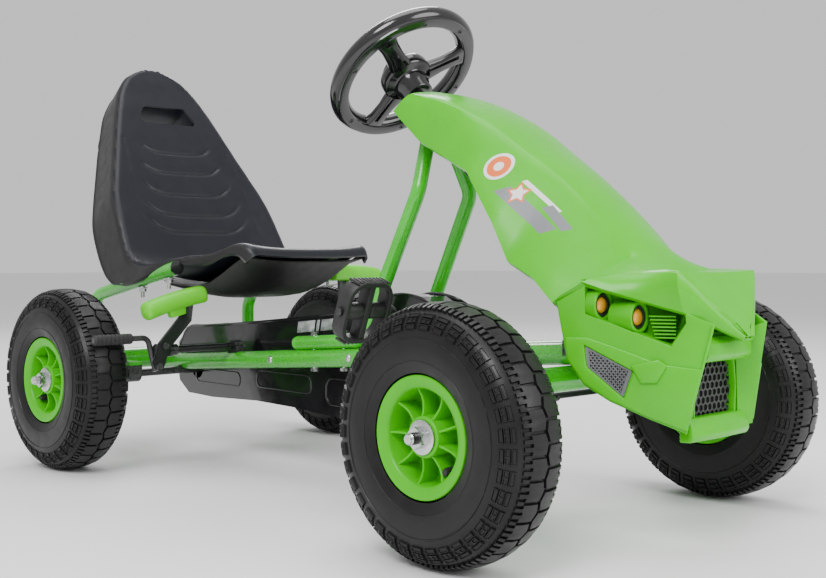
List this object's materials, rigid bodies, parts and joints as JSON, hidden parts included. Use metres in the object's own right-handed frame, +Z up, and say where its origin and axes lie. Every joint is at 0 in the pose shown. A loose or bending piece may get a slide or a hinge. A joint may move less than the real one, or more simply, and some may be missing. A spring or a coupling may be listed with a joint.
{
  "type": "pedal go kart",
  "caption": "Child's pedal go kart with a tubular frame, moulded seat, moulded front fairing, steering wheel, chain drive and hand brakes.",
  "frame": {"origin": "on the ground, at the centre of the bounding box", "axes": "+X is the direction of travel, +Y is the driver's left, +Z is up"},
  "size_m": [1.1465, 0.612, 0.625],
  "materials": {
    "frame_paint": "satin powder coat",
    "shell_plastic": "gloss moulded",
    "grip_plastic": "satin moulded",
    "rim_plastic": "satin moulded",
    "black_plastic": "gloss",
    "seat_plastic": "fine grain, semi-gloss",
    "mesh_plastic": "matte",
    "tyre_rubber": "block tread",
    "sleeve_rubber": "matte",
    "black_metal": "satin black",
    "zinc": "zinc plated",
    "lens_amber": "clear amber"
  },
  "bodies": {
    "frame": {"left_rail": "frame_paint", "right_rail": "frame_paint", "rear_cross_tube": "frame_paint", "front_beam": "frame_paint", "left_seat_tube": "frame_paint", "right_seat_tube": "frame_paint", "left_upright": "frame_paint", "right_upright": "frame_paint", "steering_head": "frame_paint", "head_bushes": "black_plastic", "tube_plugs": "black_plastic", "frame_bolts": "zinc", "kingpins": "zinc", "seat_shell": "seat_plastic", "seat_bolts": "zinc", "hood_shell": "shell_plastic", "bumper_shell": "shell_plastic", "headlights": "lens_amber", "grille_meshes": "mesh_plastic", "hood_bracket": "black_metal", "rear_axle_blocks": "black_metal", "chain": "zinc", "crank_bearings": "frame_paint", "chain_case_upper": "black_plastic", "chain_case_lower": "black_plastic", "brake_pivots": "black_metal"},
    "steering": {"steering_column": "black_metal", "steering_wheel": "black_plastic", "steering_wheel_cap": "black_plastic"},
    "left_knuckle": {"left_knuckle": "black_metal", "front_left_axle_nut": "zinc"},
    "right_knuckle": {"right_knuckle": "black_metal", "front_right_axle_nut": "zinc"},
    "left_tie_rod": {"left_tie_rod": "black_metal"},
    "right_tie_rod": {"right_tie_rod": "black_metal"},
    "front_left_wheel": {"front_left_tyre": "tyre_rubber", "front_left_rim": "rim_plastic", "front_left_bearings": "zinc"},
    "front_right_wheel": {"front_right_tyre": "tyre_rubber", "front_right_rim": "rim_plastic", "front_right_bearings": "zinc"},
    "rear_axle": {"rear_axle": "black_metal", "rear_axle_nuts": "zinc", "rear_sprocket": "black_metal", "rear_left_tyre": "tyre_rubber", "rear_left_rim": "rim_plastic", "rear_left_bearings": "zinc"},
    "rear_right_wheel": {"rear_right_tyre": "tyre_rubber", "rear_right_rim": "rim_plastic", "rear_right_bearings": "zinc"},
    "crank": {"crank": "black_metal", "chainring": "black_metal"},
    "left_pedal": {"left_pedal": "mesh_plastic"},
    "right_pedal": {"right_pedal": "mesh_plastic"},
    "left_brake": {"left_brake_lever": "black_metal", "left_brake_grip": "grip_plastic", "left_brake_sleeve": "sleeve_rubber"},
    "right_brake": {"right_brake_lever": "black_metal", "right_brake_grip": "grip_plastic", "right_brake_sleeve": "sleeve_rubber"}
  },
  "joints": [
    {"name": "steer", "type": "hinge", "parent": "frame", "child": "steering", "pos_m": [0.382, 0, 0.2], "axis": [-0.6659, 0, 0.7461], "range_deg": [-22, 22]},
    {"name": "left_kingpin", "type": "hinge", "parent": "frame", "child": "left_knuckle", "pos_m": [0.388, 0.18, 0.13], "axis": [0, 0, 1], "range_deg": [-25.8, 25.8]},
    {"name": "right_kingpin", "type": "hinge", "parent": "frame", "child": "right_knuckle", "pos_m": [0.388, -0.18, 0.13], "axis": [0, 0, 1], "range_deg": [-25.8, 25.8]},
    {"name": "left_ball_joint", "type": "hinge", "parent": "left_knuckle", "child": "left_tie_rod", "pos_m": [0.316, 0.18, 0.14], "axis": [0, 0, 1], "range_deg": [-25.8, 25.8]},
    {"name": "right_ball_joint", "type": "hinge", "parent": "right_knuckle", "child": "right_tie_rod", "pos_m": [0.316, -0.18, 0.14], "axis": [0, 0, 1], "range_deg": [-25.8, 25.8]},
    {"name": "front_left_wheel_spin", "type": "hinge", "parent": "left_knuckle", "child": "front_left_wheel", "pos_m": [0.388, 0.25, 0.13], "axis": [0, 1, 0], "continuous": true},
    {"name": "front_right_wheel_spin", "type": "hinge", "parent": "right_knuckle", "child": "front_right_wheel", "pos_m": [0.388, -0.25, 0.13], "axis": [0, 1, 0], "continuous": true},
    {"name": "rear_axle_spin", "type": "hinge", "parent": "frame", "child": "rear_axle", "pos_m": [-0.367, 0, 0.13], "axis": [0, 1, 0], "continuous": true},
    {"name": "rear_right_wheel_spin", "type": "hinge", "parent": "rear_axle", "child": "rear_right_wheel", "pos_m": [-0.367, -0.258, 0.13], "axis": [0, 1, 0], "continuous": true},
    {"name": "crank_spin", "type": "hinge", "parent": "frame", "child": "crank", "pos_m": [0.104, 0, 0.148], "axis": [0, 1, 0], "continuous": true},
    {"name": "left_pedal_spin", "type": "hinge", "parent": "crank", "child": "left_pedal", "pos_m": [0.06493, 0.137, 0.05595], "axis": [0, 1, 0], "continuous": true},
    {"name": "right_pedal_spin", "type": "hinge", "parent": "crank", "child": "right_pedal", "pos_m": [0.14307, -0.137, 0.24005], "axis": [0, 1, 0], "continuous": true},
    {"name": "left_brake_pull", "type": "hinge", "parent": "frame", "child": "left_brake", "pos_m": [-0.232, 0.178, 0.174], "axis": [0, 1, 0], "range_deg": [-12, 0], "stiffness_Nm_per_rad": 2, "springref_deg": 5.73},
    {"name": "right_brake_pull", "type": "hinge", "parent": "frame", "child": "right_brake", "pos_m": [-0.232, -0.178, 0.174], "axis": [0, 1, 0], "range_deg": [-12, 0], "stiffness_Nm_per_rad": 2, "springref_deg": 5.73}
  ],
  "couplings": [
    {"joint": "left_kingpin", "follows": "steer", "ratio": 1.1667},
    {"joint": "right_kingpin", "follows": "steer", "ratio": 1.1667},
    {"joint": "left_ball_joint", "follows": "steer", "ratio": -1.1667},
    {"joint": "right_ball_joint", "follows": "steer", "ratio": -1.1667},
    {"joint": "crank_spin", "follows": "rear_axle_spin", "ratio": 0.5}
  ]
}
